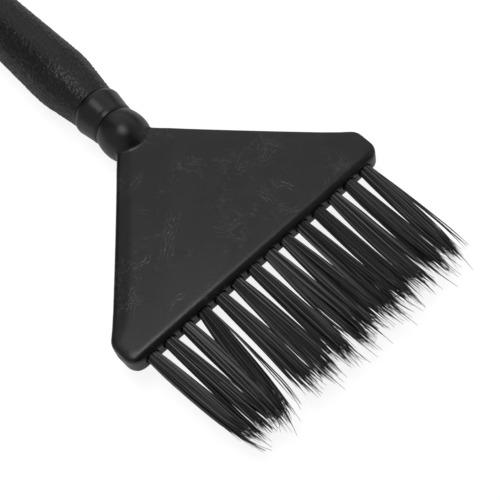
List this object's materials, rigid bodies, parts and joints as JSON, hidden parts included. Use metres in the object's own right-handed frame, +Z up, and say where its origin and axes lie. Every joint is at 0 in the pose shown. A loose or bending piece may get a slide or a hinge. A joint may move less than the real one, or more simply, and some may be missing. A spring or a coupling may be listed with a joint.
{
  "type": "hair tint brush",
  "caption": "Hair tint brush: flat triangular plastic head with a row of nylon tufts, ball neck and collar, on a straight textured grip with a slim tail.",
  "frame": {"origin": "on the ground under the middle of the brush's overall box, with the handle's axis level", "axes": "+Y along the handle towards the tail (the bristles point to -Y), +Z up through the thickness, +X across the head"},
  "size_m": [0.0682, 0.212, 0.0142],
  "materials": {
    "moulding": "satin black injection moulding with faint flow marks",
    "collar": "smooth satin black plastic",
    "sleeve": "black soft grip with a fine leather-like grain",
    "nylon": "black nylon filaments with a soft sheen",
    "wire": "flat drawn anchor wire"
  },
  "bodies": {
    "root": {"head": "moulding", "collar": "collar", "handle_core": "moulding", "grip": "sleeve", "tuft_01": "nylon", "tuft_02": "nylon", "tuft_03": "nylon", "tuft_04": "nylon", "tuft_05": "nylon", "tuft_06": "nylon", "tuft_07": "nylon", "tuft_08": "nylon", "tuft_09": "nylon", "tuft_10": "nylon", "tuft_11": "nylon", "tuft_12": "nylon", "tuft_13": "nylon", "tuft_14": "nylon", "anchor_01": "wire", "anchor_02": "wire", "anchor_03": "wire", "anchor_04": "wire", "anchor_05": "wire", "anchor_06": "wire", "anchor_07": "wire", "anchor_08": "wire", "anchor_09": "wire", "anchor_10": "wire", "anchor_11": "wire", "anchor_12": "wire", "anchor_13": "wire", "anchor_14": "wire"}
  },
  "joints": []
}
